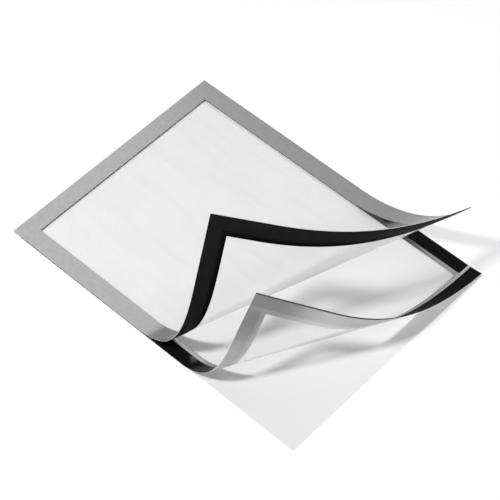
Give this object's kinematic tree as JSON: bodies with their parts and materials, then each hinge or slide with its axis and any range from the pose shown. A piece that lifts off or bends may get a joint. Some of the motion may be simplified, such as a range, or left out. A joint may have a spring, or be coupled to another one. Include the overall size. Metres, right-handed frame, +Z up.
{
  "type": "magnetic photo frame",
  "caption": "Thin self-adhesive magnetic frame for a sheet: a clear rear leaf on a release liner and a clear silver-bordered cover leaf, both edged with magnet strips and rolled up at a corner.",
  "frame": {"origin": "centre of the release liner's underside, on the table", "axes": "+Z up off the table, +X from the hinge edge to the free edge, +Y from the left edge, where the corner is rolled up, to the right edge"},
  "size_m": [0.3231, 0.2418, 0.134],
  "materials": {
    "liner": "translucent white release film",
    "clear_film": "clear polyester film",
    "silver": "satin metallic silver film",
    "black_mask": "matt black film",
    "adhesive": "clear acrylic adhesive",
    "magnet": "matt black flexible magnet"
  },
  "bodies": {
    "liner": {"release_liner": "liner"},
    "rear_leaf": {"rear_film": "clear_film", "rear_border": "silver", "mounting_tape_top": "adhesive", "mounting_tape_bottom": "adhesive", "mounting_tape_left": "adhesive", "mounting_tape_right": "adhesive", "rear_magnet_tape_top": "adhesive", "rear_magnet_tape_bottom": "adhesive", "rear_magnet_tape_left": "adhesive", "rear_magnet_tape_right": "adhesive", "rear_magnet_top": "magnet", "rear_magnet_bottom": "magnet", "rear_magnet_left": "magnet", "rear_magnet_right": "magnet", "hinge_film": "clear_film"},
    "front_leaf": {"front_mask": "black_mask", "front_film": "clear_film", "front_border": "silver", "front_magnet_top": "magnet", "front_magnet_bottom": "magnet", "front_magnet_left": "magnet", "front_magnet_right": "magnet", "front_magnet_tape_top": "adhesive", "front_magnet_tape_bottom": "adhesive", "front_magnet_tape_left": "adhesive", "front_magnet_tape_right": "adhesive"}
  },
  "joints": [
    {"name": "liner_release", "type": "slide", "parent": "liner", "child": "rear_leaf", "axis": [0, 0, 1], "range_m": [0, 0.06]},
    {"name": "cover_hinge", "type": "hinge", "parent": "rear_leaf", "child": "front_leaf", "pos_m": [-0.1615, 0, 0.0012], "axis": [0, -1, 0], "range_deg": [0, 140], "deforming": ["hinge_film"]}
  ]
}
